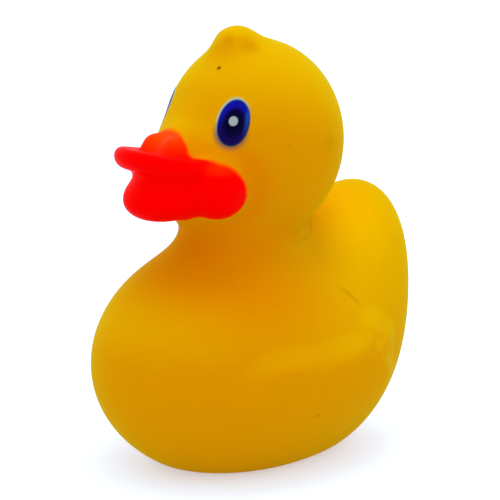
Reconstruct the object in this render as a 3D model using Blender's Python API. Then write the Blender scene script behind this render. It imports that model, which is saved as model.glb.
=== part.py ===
"""A moulded bath duck: one hollow skin of soft vinyl, with a painted bill and painted eyes.

The duck faces -Y, its left side is towards +X, and it stands on z = 0 with its origin in the middle of the
trunk's footprint. All sizes are metres and all angles are degrees.

Its form is a family of rounded masses that flow into each other, as a clay pattern is built up before a mould
is taken from it. Each mass is modelled as a primitive, a voxel remesh fuses them, and every vertex is then
settled on the blended surface. The cavity is made the same way from the same masses, less the wall.
"""

import math
from dataclasses import dataclass

import bmesh
import bpy
import numpy as np

# Trunk: an egg cut flat at the bottom
TRUNK_LENGTH = 0.0653
TRUNK_WIDTH = 0.0511
TRUNK_HEIGHT = 0.0502
BASE_CUT = 0.0035
BASE_EDGE = 0.0024

# Rump: a broad upright lobe behind the trunk, its top leaning back
RUMP_WIDTH = 0.0342
RUMP_HEIGHT = 0.0547
RUMP_DEPTH = 0.0274
RUMP_LEAN = 68.5
RUMP_BACK = 0.0245
RUMP_RISE = 0.0067
RUMP_BLEND = 0.0200

# Neck: a short post from the trunk's shoulders into the head
NECK_RADIUS = 0.0110
NECK_FORWARD = 0.0012
NECK_LEAN = 0.0010
NECK_ROOT = 0.0069
NECK_TOP = 0.0104
NECK_BLEND = 0.0093

# Head: a ball that is a little taller than wide, placed above the trunk's top
HEAD_WIDTH = 0.0370
HEAD_DEPTH = 0.0364
HEAD_HEIGHT = 0.0410
HEAD_BACK = 0.0042
HEAD_RISE = 0.0197
HEAD_BLEND = 0.0040

# Face: the fuller front of the head, above the bill and between the eyes, placed from the head's middle
FACE_WIDTH = 0.0245
FACE_DEPTH = 0.0192
FACE_HEIGHT = 0.0238
FACE_FORWARD = 0.0131
FACE_DROP = 0.0050
FACE_BLEND = 0.0058

# Crest: a tuft on the crown, steep in front and with a long slope behind, placed from the head's middle
CREST_TIP_RADIUS = 0.0043
CREST_TIP_FORWARD = 0.0045
CREST_TIP_RISE = 0.0189
CREST_ROOT_RADIUS = 0.0115
CREST_ROOT_FORWARD = -0.0013
CREST_ROOT_RISE = 0.0086
CREST_BLEND = 0.0065

# Bill, placed from the head's middle: lower lip, corner lobes, core, upper blade, bridge, root of the bridge on
# the brow, and nostril bumps
LIP_WIDTH = 0.0189
LIP_LENGTH = 0.0237
LIP_DEPTH = 0.0112
LIP_FORWARD = 0.0196
LIP_DROP = 0.0079
LIP_TILT = 12.3
LOBE_RADIUS = 0.0057
LOBE_LENGTH = 0.0118
LOBE_OUT = 0.0090
LOBE_FORWARD = 0.0168
LOBE_DROP = 0.0070
CORE_WIDTH = 0.0239
CORE_LENGTH = 0.0189
CORE_DEPTH = 0.0112
CORE_FORWARD = 0.0163
CORE_DROP = 0.0050
BLADE_WIDTH = 0.0224
BLADE_LENGTH = 0.0210
BLADE_THICKNESS = 0.0041
BLADE_FORWARD = 0.0221
BLADE_DROP = 0.0029
BLADE_UPTURN = 12.7
BLADE_DISH = 0.0008
BRIDGE_WIDTH = 0.0170
BRIDGE_LENGTH = 0.0144
BRIDGE_DEPTH = 0.0102
BRIDGE_FORWARD = 0.0208
BRIDGE_DROP = 0.0046
ROOT_WIDTH = 0.0097
ROOT_LENGTH = 0.0131
ROOT_DEPTH = 0.0108
ROOT_FORWARD = 0.0184
ROOT_DROP = 0.0013
NOSTRIL_WIDTH = 0.0045
NOSTRIL_LENGTH = 0.0043
NOSTRIL_DEPTH = 0.0055
NOSTRIL_OUT = 0.0032
NOSTRIL_FORWARD = 0.0231
NOSTRIL_RISE = 0.0001
LIP_BLEND = 0.0024
BLADE_BLEND = 0.0020
NOSTRIL_BLEND = 0.0035
BILL_BLEND = 0.0041

# Eyes: ovals on the front quarters of the head, their tops rolled back a little, barely raised
EYE_WIDTH = 0.0073
EYE_HEIGHT = 0.0102
EYE_TURN = 37.3
EYE_LIFT = 19.6
EYE_ROLL = 9.5
EYE_RISE = 0.0001
EYE_EDGE = 0.0012
IRIS_SHARE = 0.89
PUPIL_SHARE = 0.57
GLINT_SHARE = 0.24

# Wings: low pads on the trunk's sides that fade out towards the belly, placed from the trunk's middle
WING_RISE = 0.0012
WING_EDGE = 0.0060
WING_FADE_DROP = 0.0090
WING_FADE_BAND = 0.0140
WING_BLEND = 0.0100
TIP_BLEND = 0.0050
SHOULDER_FORWARD = 0.0073
SHOULDER_DROP = 0.0030
SHOULDER_LENGTH = 0.0190
SHOULDER_HEIGHT = 0.0168
PINION_BACK = 0.0095
PINION_DROP = 0.0050
PINION_LENGTH = 0.0290
PINION_HEIGHT = 0.0208
TIP_RADIUS = 0.0022
TIP_BACK = 0.0170
TIP_RISE = 0.0066
SECOND_TIP_RADIUS = 0.0018
SECOND_TIP_BACK = 0.0212
SECOND_TIP_RISE = 0.0042
FEATHER_ROOT_RADIUS = 0.0090

# Skin and vent
WALL = 0.0020
VENT_RADIUS = 0.0016
VENT_BACK = 0.0090
VENT_OVERRUN = 0.0020

# Mesh density
SKIN_VOXEL = 0.0014
CAVITY_VOXEL = 0.0042
SKIN_TRIANGLES = 7800
BILL_MARGIN = 0.0006
WING_MARGIN = 0.0002
EYE_REACH = 1.25
EYE_CUTS = 1
EYE_SNAP = 0.00026
BALL_SUBDIVISIONS = 3
SPHERE_SEGMENTS = 32
VENT_SEGMENTS = 24

# Settling: rounds that also spread the vertices, rounds that only settle them, and the steps of both
SPREAD_ROUNDS = 8
LAST_ROUNDS = 2
RELAX = 0.5
LEAST_STEEPNESS = 0.25
PROBE = 0.00001
TINY = 1e-9

# Limits of the shapes' own formulas: where a plate stops curving, its cap's share, a share outside every eye
DISH_REACH = 1.3
CAP_SHARE = 0.8
OUTSIDE = 3.0

# Painted edge of the bill, measured out from the bill's own masses
PAINT_REACH = 0.0008

# Finishes: base colour and roughness
FINISHES = {
    "vinyl_yellow": ((0.80, 0.44, 0.002, 1.0), 0.42),
    "paint_red": ((0.90, 0.010, 0.004, 1.0), 0.36),
    "paint_white": ((0.62, 0.66, 0.68, 1.0), 0.40),
    "paint_blue": ((0.010, 0.004, 0.36, 1.0), 0.36),
    "paint_black": ((0.004, 0.003, 0.008, 1.0), 0.34),
}

# The eye's colours from its rim inwards: the share of the eye each one fills, and its finish
EYE_COLOURS = (
    (1.0, "paint_white"),
    (IRIS_SHARE, "paint_blue"),
    (PUPIL_SHARE, "paint_black"),
    (GLINT_SHARE, "paint_white"),
)


def bow(distance_a, distance_b, blend):
    """The nearer of two distances, with the valley between them filled to a smooth curve."""
    share = np.maximum(blend - np.abs(distance_a - distance_b), 0.0) / blend
    return np.minimum(distance_a, distance_b) - share**3 * blend / 6


@dataclass(frozen=True)
class Ellipsoid:
    """An ellipsoid turned about X by pitch. One that is off the middle also stands for its mirror image."""

    centre: tuple
    radii: tuple
    pitch: float = 0.0

    def distance(self, points):
        """How far each point lies outside the surface, near enough for blending."""
        offset = points - np.array(self.centre)
        cosine, sine = math.cos(math.radians(self.pitch)), math.sin(math.radians(self.pitch))
        along = offset[:, 1] * cosine + offset[:, 2] * sine
        across = offset[:, 2] * cosine - offset[:, 1] * sine
        turned = np.stack([offset[:, 0], along, across], axis=1)
        reach = np.linalg.norm(turned / self.radii, axis=1)
        steep = np.linalg.norm(turned / np.square(self.radii), axis=1) + TINY
        return reach * (reach - 1) / steep

    def thinned(self, wall):
        """The same ellipsoid inside a wall, or None where the wall takes all of it."""
        radii = tuple(radius - wall for radius in self.radii)
        return Ellipsoid(self.centre, radii, self.pitch) if min(radii) > wall / 2 else None

    def add_to(self, mesh):
        """Adds the ellipsoid, and its mirror image if it has one, to a bmesh."""
        for side in (1, -1) if self.centre[0] else (1,):
            made = bmesh.ops.create_uvsphere(
                mesh, u_segments=SPHERE_SEGMENTS, v_segments=SPHERE_SEGMENTS // 2, radius=1.0
            )
            cosine, sine = math.cos(math.radians(self.pitch)), math.sin(math.radians(self.pitch))
            for vertex in made["verts"]:
                x, y, z = (share * radius for share, radius in zip(vertex.co, self.radii))
                vertex.co = (
                    self.centre[0] * side + x,
                    self.centre[1] + y * cosine - z * sine,
                    self.centre[2] + y * sine + z * cosine,
                )


@dataclass(frozen=True)
class RoundCone:
    """The hull of two balls on the middle plane."""

    start: tuple
    end: tuple
    start_radius: float
    end_radius: float

    def distance(self, points):
        """How far each point lies outside the surface."""
        start, end = np.array(self.start), np.array(self.end)
        axis = end - start
        length = np.linalg.norm(axis)
        along = (points - start) @ (axis / length)
        out = np.linalg.norm(points - start - along[:, None] * axis / length, axis=1)
        slope = (self.start_radius - self.end_radius) / length
        lean = math.sqrt(1 - slope * slope)
        share = np.clip((along + out * slope / lean) / length, 0.0, 1.0)
        middle = np.hypot(along - share * length, out)
        return middle - (self.start_radius + (self.end_radius - self.start_radius) * share)

    def thinned(self, wall):
        """The same hull inside a wall, or None where the wall takes one of its balls."""
        radii = self.start_radius - wall, self.end_radius - wall
        return RoundCone(self.start, self.end, *radii) if min(radii) > wall / 2 else None

    def add_to(self, mesh):
        """Adds the hull to a bmesh."""
        balls = bmesh.new()
        for centre, radius in ((self.start, self.start_radius), (self.end, self.end_radius)):
            made = bmesh.ops.create_icosphere(balls, subdivisions=BALL_SUBDIVISIONS, radius=radius)
            bmesh.ops.translate(balls, verts=made["verts"], vec=centre)
        hull = bmesh.ops.convex_hull(balls, input=balls.verts)
        spare = set(hull["geom_interior"]) | set(hull["geom_unused"])
        bmesh.ops.delete(balls, geom=[e for e in spare if isinstance(e, bmesh.types.BMVert)], context="VERTS")
        places = {vertex: mesh.verts.new(vertex.co) for vertex in balls.verts}
        for face in balls.faces:
            mesh.faces.new([places[vertex] for vertex in face.verts])
        balls.free()


@dataclass(frozen=True)
class DishedPlate:
    """An oval plate of even thickness with a round edge, its middle sunk below its rim, turned about X by pitch."""

    centre: tuple
    half_width: float
    half_length: float
    thickness: float
    dish: float
    pitch: float

    def distance(self, points):
        """How far each point lies outside the surface, near enough for blending."""
        offset = points - np.array(self.centre)
        cosine, sine = math.cos(math.radians(self.pitch)), math.sin(math.radians(self.pitch))
        along = offset[:, 1] * cosine + offset[:, 2] * sine
        across = offset[:, 2] * cosine - offset[:, 1] * sine
        core = np.array([self.half_width, self.half_length]) - self.thickness / 2
        flat = np.stack([offset[:, 0], along], axis=1)
        reach = np.linalg.norm(flat / core, axis=1)
        steep = np.linalg.norm(flat / np.square(core), axis=1) + TINY
        past_rim = np.maximum(reach * (reach - 1) / steep, 0.0)
        sunk = across + self.dish * (1 - np.minimum(reach, DISH_REACH) ** 2)
        return np.hypot(past_rim, sunk) - self.thickness / 2

    def thinned(self, wall):
        """A plate is solid: no cavity runs into it."""
        return None

    def add_to(self, mesh):
        """Adds the plate to a bmesh, as a ball pressed flat: its caps are dished and its belt is the rim."""
        half = self.thickness / 2
        cosine, sine = math.cos(math.radians(self.pitch)), math.sin(math.radians(self.pitch))
        made = bmesh.ops.create_uvsphere(
            mesh, u_segments=SPHERE_SEGMENTS, v_segments=SPHERE_SEGMENTS, radius=1.0
        )
        for vertex in made["verts"]:
            x, y, z = vertex.co
            reach = math.hypot(x, y)
            if reach < CAP_SHARE:
                flat = reach / CAP_SHARE
                out, rise = 0.0, math.copysign(half, z) - self.dish * (1 - flat * flat)
            else:
                belt = math.asin(z / math.sqrt(1 - CAP_SHARE**2 + TINY))
                flat, out, rise = 1.0, half * math.cos(belt), half * math.sin(belt)
            spread = 1 / max(reach, TINY)
            x = x * spread * (flat * (self.half_width - half) + out)
            y = y * spread * (flat * (self.half_length - half) + out)
            vertex.co = (
                self.centre[0] + x,
                self.centre[1] + y * cosine - rise * sine,
                self.centre[2] + y * sine + rise * cosine,
            )


TRUNK_CENTRE = (0.0, 0.0, TRUNK_HEIGHT / 2 - BASE_CUT)
TRUNK_TOP = TRUNK_HEIGHT - BASE_CUT
HEAD_CENTRE = (0.0, HEAD_BACK, TRUNK_TOP + HEAD_RISE)


def from_head(out, forward, rise):
    """A place given from the head's middle."""
    return (out, HEAD_CENTRE[1] - forward, HEAD_CENTRE[2] + rise)


TRUNK = Ellipsoid(TRUNK_CENTRE, (TRUNK_WIDTH / 2, TRUNK_LENGTH / 2, TRUNK_HEIGHT / 2))
RUMP = Ellipsoid(
    (0.0, RUMP_BACK, TRUNK_CENTRE[2] + RUMP_RISE),
    (RUMP_WIDTH / 2, RUMP_HEIGHT / 2, RUMP_DEPTH / 2),
    RUMP_LEAN,
)
NECK = RoundCone(
    (0.0, -NECK_FORWARD, TRUNK_TOP - NECK_ROOT),
    (0.0, NECK_LEAN - NECK_FORWARD, HEAD_CENTRE[2] - NECK_TOP),
    NECK_RADIUS,
    NECK_RADIUS,
)
HEAD = Ellipsoid(HEAD_CENTRE, (HEAD_WIDTH / 2, HEAD_DEPTH / 2, HEAD_HEIGHT / 2))
FACE = Ellipsoid(
    from_head(0.0, FACE_FORWARD, -FACE_DROP), (FACE_WIDTH / 2, FACE_DEPTH / 2, FACE_HEIGHT / 2)
)
CREST = RoundCone(
    from_head(0.0, CREST_TIP_FORWARD, CREST_TIP_RISE),
    from_head(0.0, CREST_ROOT_FORWARD, CREST_ROOT_RISE),
    CREST_TIP_RADIUS,
    CREST_ROOT_RADIUS,
)
LIP = Ellipsoid(
    from_head(0.0, LIP_FORWARD, -LIP_DROP), (LIP_WIDTH / 2, LIP_LENGTH / 2, LIP_DEPTH / 2), LIP_TILT
)
LOBE = Ellipsoid(
    from_head(LOBE_OUT, LOBE_FORWARD, -LOBE_DROP), (LOBE_RADIUS, LOBE_LENGTH / 2, LOBE_RADIUS)
)
CORE = Ellipsoid(
    from_head(0.0, CORE_FORWARD, -CORE_DROP), (CORE_WIDTH / 2, CORE_LENGTH / 2, CORE_DEPTH / 2)
)
BLADE = DishedPlate(
    from_head(0.0, BLADE_FORWARD, -BLADE_DROP),
    BLADE_WIDTH / 2,
    BLADE_LENGTH / 2,
    BLADE_THICKNESS,
    BLADE_DISH,
    -BLADE_UPTURN,
)
BRIDGE = Ellipsoid(
    from_head(0.0, BRIDGE_FORWARD, -BRIDGE_DROP), (BRIDGE_WIDTH / 2, BRIDGE_LENGTH / 2, BRIDGE_DEPTH / 2)
)
ROOT = Ellipsoid(
    from_head(0.0, ROOT_FORWARD, -ROOT_DROP), (ROOT_WIDTH / 2, ROOT_LENGTH / 2, ROOT_DEPTH / 2)
)
NOSTRIL = Ellipsoid(
    from_head(NOSTRIL_OUT, NOSTRIL_FORWARD, NOSTRIL_RISE),
    (NOSTRIL_WIDTH / 2, NOSTRIL_LENGTH / 2, NOSTRIL_DEPTH / 2),
)


def joined(masses, points):
    """The blended distance of (mass, blend) pairs, each blended into those before it. None is passed over."""
    total = None
    for mass, blend in masses:
        if mass is None:
            continue
        distance = mass.distance(points)
        total = distance if total is None else bow(total, distance, blend)
    return total


def bill_masses(wall):
    """The bill's masses inside a wall, with the width of the curve that joins each to those before it."""
    pairs = (
        (LIP, LIP_BLEND),
        (LOBE, LIP_BLEND),
        (CORE, LIP_BLEND),
        (BRIDGE, LIP_BLEND),
        (ROOT, LIP_BLEND),
        (BLADE, BLADE_BLEND),
        (NOSTRIL, NOSTRIL_BLEND),
    )
    return [(mass.thinned(wall) if wall else mass, blend) for mass, blend in pairs]


def body_masses(wall):
    """The masses of the body and head inside a wall, with the width of the curve that joins each."""
    pairs = (
        (TRUNK, RUMP_BLEND),
        (RUMP, RUMP_BLEND),
        (NECK, NECK_BLEND),
        (HEAD, HEAD_BLEND),
        (FACE, FACE_BLEND),
        (CREST, CREST_BLEND),
    )
    return [(mass.thinned(wall) if wall else mass, blend) for mass, blend in pairs]


def mirrored(points):
    """The points folded onto the duck's left side."""
    return np.stack([np.abs(points[:, 0]), points[:, 1], points[:, 2]], axis=1)


def step_up(distance, edge):
    """Rises smoothly from 0 outside an outline to 1 inside it, over a band as wide as edge."""
    share = np.clip(0.5 - distance / edge, 0.0, 1.0)
    return share * share * (3 - 2 * share)


def wing_outline(points):
    """How far each point lies outside the wing's outline, seen from the side."""
    flat = points * np.array([0.0, 1.0, 1.0])
    y, z = TRUNK_CENTRE[1], TRUNK_CENTRE[2]
    shoulder = Ellipsoid(
        (0.0, y - SHOULDER_FORWARD, z - SHOULDER_DROP),
        (SHOULDER_LENGTH / 2, SHOULDER_LENGTH / 2, SHOULDER_HEIGHT / 2),
    )
    pinion_centre = (0.0, y + PINION_BACK, z - PINION_DROP)
    pinion = Ellipsoid(pinion_centre, (PINION_LENGTH / 2, PINION_LENGTH / 2, PINION_HEIGHT / 2))
    tips = (
        ((0.0, y + TIP_BACK, z + TIP_RISE), TIP_RADIUS),
        ((0.0, y + SECOND_TIP_BACK, z + SECOND_TIP_RISE), SECOND_TIP_RADIUS),
    )
    feathers = [RoundCone(place, pinion_centre, radius, FEATHER_ROOT_RADIUS) for place, radius in tips]
    masses = [(shoulder, WING_BLEND), (pinion, WING_BLEND)]
    return joined(masses + [(feather, TIP_BLEND) for feather in feathers], flat)


def wing_lift(points):
    """How far the wing lifts the skin at each point."""
    below = TRUNK_CENTRE[2] - points[:, 2]
    fade = step_up(below - WING_FADE_DROP, WING_FADE_BAND)
    return WING_RISE * fade * step_up(wing_outline(points), WING_EDGE)


def eye_axes():
    """The left eye's outward direction and the directions of its short and long axes."""
    turn, lift, roll = (math.radians(angle) for angle in (EYE_TURN, EYE_LIFT, EYE_ROLL))
    outward = np.array([math.sin(turn) * math.cos(lift), -math.cos(turn) * math.cos(lift), math.sin(lift)])
    level = np.array([math.cos(turn), math.sin(turn), 0.0])
    upright = np.cross(outward, level)
    sideways = level * math.cos(roll) - upright * math.sin(roll)
    return outward, sideways, np.cross(outward, sideways)


def eye_share(points):
    """1 on the rim of the left eye, less inside it and more outside it."""
    outward, sideways, upward = eye_axes()
    offset = points - np.array(HEAD_CENTRE)
    share = np.hypot(offset @ sideways / (EYE_WIDTH / 2), offset @ upward / (EYE_HEIGHT / 2))
    return np.where(offset @ outward > HEAD_WIDTH / 4, share, OUTSIDE)


def skin_height(points):
    """The signed height of each point over the duck's outer surface."""
    half = mirrored(points)
    height = joined(body_masses(0.0), half)
    height = bow(height, joined(bill_masses(0.0), half), BILL_BLEND)
    height = height - wing_lift(half)
    height = height - EYE_RISE * step_up((eye_share(half) - 1) * EYE_WIDTH / 2, EYE_EDGE)
    return -bow(-height, points[:, 2], BASE_EDGE)


def cavity_height(points):
    """The signed height of each point over the cavity's surface, a wall inside the skin."""
    half = mirrored(points)
    height = joined(body_masses(WALL), half)
    height = bow(height, joined(bill_masses(WALL), half), BILL_BLEND)
    return -bow(-height, points[:, 2] - WALL, BASE_EDGE)


def slope_of(height, points):
    """The gradient of a height at each point."""
    slope = np.empty_like(points)
    for axis in range(3):
        step = np.zeros(3)
        step[axis] = PROBE
        slope[:, axis] = (height(points + step) - height(points - step)) / (2 * PROBE)
    return slope


def dropped(points, height):
    """The points moved onto the surface where height is 0, each along its own gradient."""
    for _ in range(LAST_ROUNDS):
        slope = slope_of(height, points)
        steep = np.maximum((slope * slope).sum(axis=1), LEAST_STEEPNESS)
        points = points - (height(points) / steep)[:, None] * slope
    return points


def places_of(mesh):
    """A mesh's vertices as an array."""
    return np.array([vertex.co for vertex in mesh.vertices])


def settle(mesh, height):
    """Spreads a mesh's vertices evenly and moves each one onto the surface where height is 0."""
    points = places_of(mesh)
    ends = np.array([edge.vertices[:] for edge in mesh.edges])
    links = np.bincount(ends.ravel(), minlength=len(points))[:, None]
    for _ in range(SPREAD_ROUNDS):
        around = np.zeros_like(points)
        np.add.at(around, ends[:, 0], points[ends[:, 1]])
        np.add.at(around, ends[:, 1], points[ends[:, 0]])
        points = dropped(points + RELAX * (around / links - points), height)
    mesh.vertices.foreach_set("co", points.ravel())
    mesh.update()


def fused(name, masses, voxel):
    """One closed mesh round all the masses, as even quads about a voxel wide."""
    blocks = bmesh.new()
    for mass, _ in masses:
        if mass is not None:
            mass.add_to(blocks)
    mesh = bpy.data.meshes.new(name + "_blocks")
    blocks.to_mesh(mesh)
    blocks.free()
    obj = bpy.data.objects.new(name + "_blocks", mesh)
    bpy.context.scene.collection.objects.link(obj)
    remesh = obj.modifiers.new("fuse", "REMESH")
    remesh.mode = "VOXEL"
    remesh.voxel_size = voxel
    graph = bpy.context.evaluated_depsgraph_get()
    made = bpy.data.meshes.new_from_object(obj.evaluated_get(graph))
    made.name = name
    bpy.data.objects.remove(obj)
    return made


def detailed(points):
    """True on the bill, round the eyes and along the wings' edges, where the mesh stays fine."""
    half = mirrored(points)
    bill = joined(bill_masses(0.0), half) < BILL_MARGIN
    eye = eye_share(half) < EYE_REACH
    wing = (np.abs(wing_outline(half)) < WING_EDGE / 2 + WING_MARGIN) & (half[:, 0] > TRUNK_WIDTH / 4)
    return bill | eye | wing


def thin_out(mesh, triangles):
    """The mesh with its plain stretches thinned, so that it has about a number of triangles."""
    obj = bpy.data.objects.new(mesh.name, mesh)
    bpy.context.scene.collection.objects.link(obj)
    plain = obj.vertex_groups.new(name="plain")
    plain.add(np.flatnonzero(~detailed(places_of(mesh))).tolist(), 1.0, "REPLACE")
    decimate = obj.modifiers.new("thin", "DECIMATE")
    decimate.ratio = triangles / (2 * len(mesh.polygons))
    decimate.vertex_group = plain.name
    graph = bpy.context.evaluated_depsgraph_get()
    made = bpy.data.meshes.new_from_object(obj.evaluated_get(graph))
    made.name = mesh.name
    bpy.data.objects.remove(obj)
    return made


def sharpen_eyes(mesh):
    """Makes the mesh finer on the eyes, and draws its vertices onto the edges of the eyes' colours."""
    work = bmesh.new()
    work.from_mesh(mesh)
    inside = eye_share(mirrored(places_of(mesh))) < EYE_REACH
    work.verts.ensure_lookup_table()
    edges = [edge for edge in work.edges if all(inside[vertex.index] for vertex in edge.verts)]
    bmesh.ops.subdivide_edges(work, edges=edges, cuts=EYE_CUTS, use_grid_fill=True)
    work.to_mesh(mesh)
    work.free()
    points = places_of(mesh)
    side = np.where(points[:, :1] < 0.0, [[-1.0, 1.0, 1.0]], [[1.0, 1.0, 1.0]])
    half = points * side
    share = eye_share(half)
    _, sideways, upward = eye_axes()
    offset = half - np.array(HEAD_CENTRE)
    across = (offset @ sideways)[:, None] * sideways + (offset @ upward)[:, None] * upward
    for limit, _ in EYE_COLOURS:
        near = np.abs(share - limit) * EYE_WIDTH / 2 < EYE_SNAP
        half = half + np.where(near, limit / share - 1, 0.0)[:, None] * across
    mesh.vertices.foreach_set("co", (half * side).ravel())


def flatten_base(mesh):
    """Puts what has settled on the ground exactly on it, and makes the flat base one face."""
    mesh.vertices.foreach_set("co", dropped(places_of(mesh), skin_height).ravel())
    work = bmesh.new()
    work.from_mesh(mesh)
    for vertex in work.verts:
        if vertex.co.z < PROBE:
            vertex.co.z = 0.0
    flat = [face for face in work.faces if all(vertex.co.z == 0.0 for vertex in face.verts)]
    bmesh.ops.dissolve_faces(work, faces=flat, use_verts=True)
    work.to_mesh(mesh)
    work.free()


def finish_of(points):
    """The index in FINISHES of the paint or bare vinyl at each point."""
    half = mirrored(points)
    names = list(FINISHES)
    on_bill = joined(bill_masses(0.0), half) < PAINT_REACH
    paint = np.where(on_bill, names.index("paint_red"), names.index("vinyl_yellow"))
    share = eye_share(half)
    for limit, name in EYE_COLOURS:
        paint = np.where(share < limit, names.index(name), paint)
    return paint


def make_finish(name, colour, roughness):
    """A Principled BSDF material."""
    material = bpy.data.materials.new(name)
    material.use_nodes = True
    shader = material.node_tree.nodes["Principled BSDF"]
    shader.inputs["Base Color"].default_value = colour
    shader.inputs["Roughness"].default_value = roughness
    shader.inputs["Metallic"].default_value = 0.0
    material.diffuse_color = colour
    return material


def make_cutter(name, mesh):
    """A hidden object that a Boolean takes away."""
    cutter = bpy.data.objects.new(name, mesh)
    cutter.hide_render = True
    cutter.display_type = "WIRE"
    bpy.context.scene.collection.objects.link(cutter)
    return cutter


def cavity_cutter():
    """The space inside the skin."""
    mesh = fused("cavity", body_masses(WALL) + bill_masses(WALL), CAVITY_VOXEL)
    settle(mesh, cavity_height)
    return make_cutter("cavity_cutter", mesh)


def vent_cutter():
    """A pin through the flat base into the cavity."""
    work = bmesh.new()
    made = bmesh.ops.create_cone(
        work,
        cap_ends=True,
        segments=VENT_SEGMENTS,
        radius1=VENT_RADIUS,
        radius2=VENT_RADIUS,
        depth=WALL + 2 * VENT_OVERRUN,
    )
    bmesh.ops.translate(work, verts=made["verts"], vec=(0.0, VENT_BACK, WALL / 2))
    mesh = bpy.data.meshes.new("vent")
    work.to_mesh(mesh)
    work.free()
    return make_cutter("vent_cutter", mesh)


def duck_shell():
    """The whole duck, hollow and with its vent open."""
    mesh = fused("duck_shell", body_masses(0.0) + bill_masses(0.0), SKIN_VOXEL)
    settle(mesh, skin_height)
    mesh = thin_out(mesh, SKIN_TRIANGLES)
    sharpen_eyes(mesh)
    flatten_base(mesh)
    for name, (colour, roughness) in FINISHES.items():
        mesh.materials.append(make_finish(name, colour, roughness))
    middles = np.array([face.center for face in mesh.polygons])
    mesh.polygons.foreach_set("material_index", finish_of(middles).astype(np.int32))
    mesh.shade_smooth()
    shell = bpy.data.objects.new("duck_shell", mesh)
    bpy.context.scene.collection.objects.link(shell)
    for cutter in (cavity_cutter(), vent_cutter()):
        cut = shell.modifiers.new(cutter.name, "BOOLEAN")
        cut.operation = "DIFFERENCE"
        cut.object = cutter
    return shell


def main():
    """Clears the scene and builds the duck."""
    for obj in list(bpy.data.objects):
        bpy.data.objects.remove(obj)
    duck_shell()


main()
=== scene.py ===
"""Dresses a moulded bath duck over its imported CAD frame, and stands it in a plain white studio.

The skin is made again here with a finer mesh, so that the bill's rim, the feathers, the folds of the crest
and the raised eyes read as shapes. The paint is laid on it as the real one's is: red through a spray mask,
and the eyes in a few printed colours.

The duck faces -Y, its left side is towards +X, and it stands on z = 0 with the origin in the middle of its
trunk's footprint. Lengths are metres and angles are degrees, unless a name says millimetres.
"""

import logging
import math
from abc import ABC, abstractmethod
from collections.abc import Callable, Iterable
from dataclasses import dataclass, field
from enum import Enum
from typing import Optional

import bpy
import numpy as np
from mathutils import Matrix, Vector

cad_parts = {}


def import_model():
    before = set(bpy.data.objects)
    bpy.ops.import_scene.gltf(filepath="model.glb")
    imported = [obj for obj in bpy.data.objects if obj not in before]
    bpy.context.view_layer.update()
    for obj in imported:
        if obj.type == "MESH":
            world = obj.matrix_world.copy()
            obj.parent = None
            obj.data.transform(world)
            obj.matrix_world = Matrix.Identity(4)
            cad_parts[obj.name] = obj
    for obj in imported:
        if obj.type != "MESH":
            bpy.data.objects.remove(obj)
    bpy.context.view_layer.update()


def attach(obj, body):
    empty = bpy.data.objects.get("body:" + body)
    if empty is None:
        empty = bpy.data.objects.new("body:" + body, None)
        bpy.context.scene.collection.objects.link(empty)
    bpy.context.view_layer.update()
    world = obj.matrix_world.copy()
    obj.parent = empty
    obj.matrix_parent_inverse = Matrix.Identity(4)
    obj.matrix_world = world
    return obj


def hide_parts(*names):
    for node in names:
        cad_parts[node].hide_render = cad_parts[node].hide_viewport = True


LOG = logging.getLogger("duck")

Array = np.ndarray
Height = Callable[[np.ndarray], np.ndarray]
Point = tuple[float, float, float]
Masses = list[tuple["Mass", float]]

CAD_NODE = "duck_shell"
CAD_BODY = "root"
MILLIMETRE = 0.001
TINY = 1e-9
WHITE = "#FFFFFF"

# How finely the rough blocks are modelled before they are fused
SPHERE_SEGMENTS = 48
SPHERE_RINGS = 24
BALL_SUBDIVISIONS = 4
PLATE_SEGMENTS = 96
PLATE_SHARP_ANGLE = 60
PLATE_BEVEL_SHARE = 0.45
PLATE_BEVEL_SEGMENTS = 6
VENT_SEGMENTS = 48

# The angle over which neighbouring faces of the skin show an edge between them
SMOOTH_ANGLE = 50


class Side(Enum):
    """The duck's sides, as the sign of X."""

    LEFT = 1
    RIGHT = -1


def linear(colour: str, alpha: float = 1.0) -> tuple[float, float, float, float]:
    """Turns an sRGB hex colour into the linear colour that shaders use.

    Args:
        colour: The colour, such as "#E8B000".
        alpha: Its opacity.

    Returns:
        Red, green, blue and alpha.
    """
    shares = (int(colour[place : place + 2], 16) / 255 for place in (1, 3, 5))
    red, green, blue = (s / 12.92 if s <= 0.04045 else ((s + 0.055) / 1.055) ** 2.4 for s in shares)
    return red, green, blue, alpha


def add_node(
    tree: bpy.types.NodeTree, kind: str, inputs: Optional[dict] = None, **settings: object
) -> bpy.types.Node:
    """Adds a node with its settings and links.

    Args:
        tree: The node tree.
        kind: The node's type.
        inputs: For each input, by name or number, the socket that feeds it or its own value.
        settings: The node's other properties.

    Returns:
        The node.
    """
    node = tree.nodes.new(kind)
    for name, value in settings.items():
        setattr(node, name, value)
    for key, value in (inputs or {}).items():
        if isinstance(value, bpy.types.NodeSocket):
            tree.links.new(value, node.inputs[key])
        else:
            node.inputs[key].default_value = value
    return node


def select_only(*chosen: bpy.types.Object) -> None:
    """Selects these objects and no other, and makes the first one active."""
    bpy.ops.object.select_all(action="DESELECT")
    for obj in chosen:
        obj.select_set(True)
    bpy.context.view_layer.objects.active = chosen[0]


def bow(nearer: Array, other: Array, blend: float) -> Array:
    """Takes the nearer of two distances, with the valley between them filled to a smooth curve.

    Args:
        nearer: One distance for each point.
        other: The other distance for each point.
        blend: The width of the curve.

    Returns:
        The blended distance for each point.
    """
    share = np.maximum(blend - np.abs(nearer - other), 0.0) / blend
    return np.minimum(nearer, other) - share**3 * blend / 6


def step_up(distance: Array, edge: float) -> Array:
    """Rises smoothly from 0 outside an outline to 1 inside it, over a band as wide as edge."""
    share = np.clip(0.5 - distance / edge, 0.0, 1.0)
    return share * share * (3 - 2 * share)


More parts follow.
